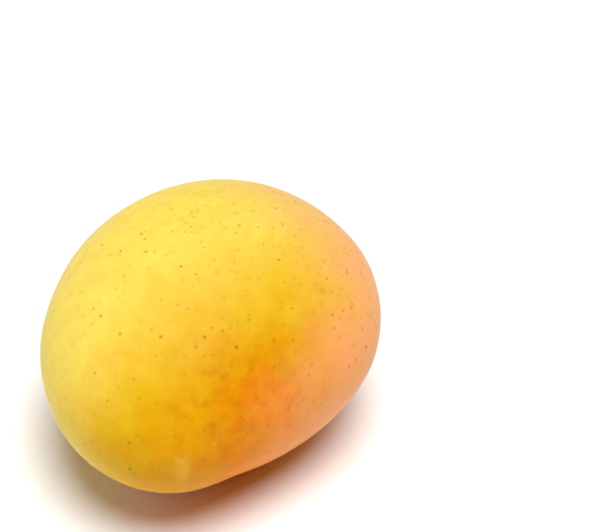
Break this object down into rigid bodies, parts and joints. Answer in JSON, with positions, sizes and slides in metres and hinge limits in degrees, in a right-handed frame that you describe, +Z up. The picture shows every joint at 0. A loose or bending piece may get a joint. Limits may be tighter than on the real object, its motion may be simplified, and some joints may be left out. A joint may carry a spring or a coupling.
{
  "type": "mango",
  "caption": "Whole ripe mango, a rounded egg-shaped fruit flatter from cheek to cheek, with a shallow stem cavity, a slight sinus and a small beak, lying on a flat spot.",
  "frame": {"origin": "on the surface the fruit lies on, under the middle of its length and width", "axes": "+X along the fruit to its stem end, +Y to its full back, away from the sinus, +Z up through its two cheeks"},
  "size_m": [0.111, 0.0948, 0.0777],
  "materials": {
    "mango_skin": "waxy fruit skin, golden yellow with an orange-pink blush and fine brown pores"
  },
  "bodies": {
    "root": {"mango": "mango_skin"}
  },
  "joints": []
}
